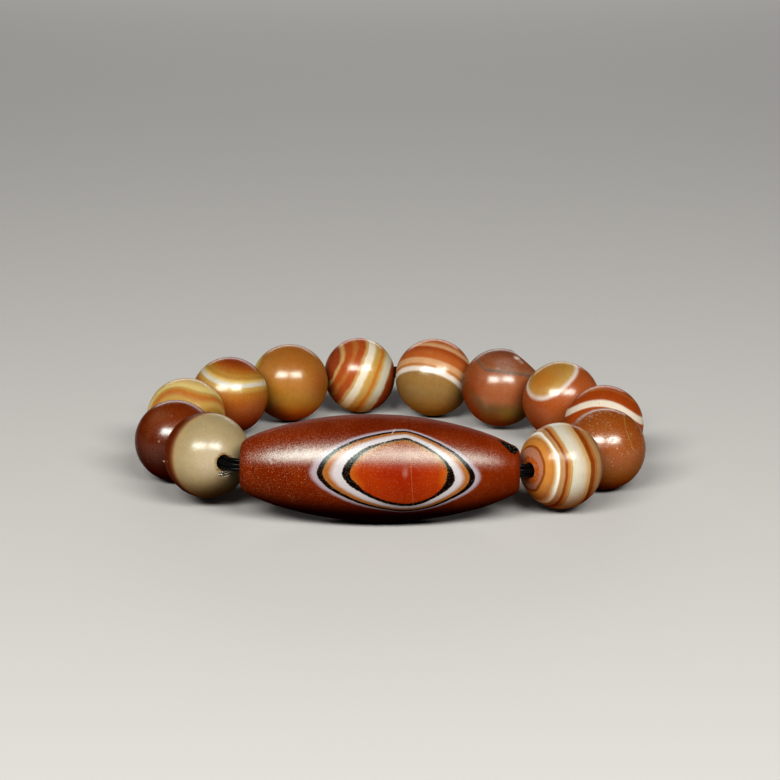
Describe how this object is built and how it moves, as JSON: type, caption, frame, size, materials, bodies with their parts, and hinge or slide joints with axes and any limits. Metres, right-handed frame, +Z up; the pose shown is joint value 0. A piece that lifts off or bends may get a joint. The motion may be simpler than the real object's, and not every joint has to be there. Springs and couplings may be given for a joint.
{
  "type": "dzi bead bracelet",
  "caption": "Bracelet of round banded agate beads and one long barrel eye bead on a closed loop of black elastic thread, lying flat, worn round a wrist.",
  "frame": {"origin": "on the floor under the middle of the bracelet's bounding box", "axes": "+Z up, +X along the long eye bead towards its right end, +Y from the eye bead towards the back of the ring"},
  "size_m": [0.0889, 0.0789, 0.0178],
  "materials": {
    "dzi_agate": "satin polished stone, finely pitted, with an eye pattern",
    "grey_agate": "polished stone, chipped at one bore mouth",
    "dark_red_agate": "polished stone",
    "yellow_banded_agate": "polished banded stone",
    "orange_cap_agate": "polished banded stone",
    "honey_agate": "polished stone",
    "steep_striped_agate": "polished banded stone",
    "arched_striped_agate": "polished banded stone",
    "brown_agate": "polished stone with a small worn flat",
    "eye_spot_agate": "polished banded stone",
    "white_band_agate": "polished banded stone",
    "plain_orange_agate": "polished stone",
    "cream_banded_agate": "polished banded stone",
    "elastic_thread": "glossy black elastic strands"
  },
  "bodies": {
    "root": {"dzi_bead": "dzi_agate", "bead_01": "grey_agate", "bead_02": "dark_red_agate", "bead_03": "yellow_banded_agate", "bead_04": "orange_cap_agate", "bead_05": "honey_agate", "bead_06": "steep_striped_agate", "bead_07": "arched_striped_agate", "bead_08": "brown_agate", "bead_09": "eye_spot_agate", "bead_10": "white_band_agate", "bead_11": "plain_orange_agate", "bead_12": "cream_banded_agate", "thread": "elastic_thread"}
  },
  "joints": []
}
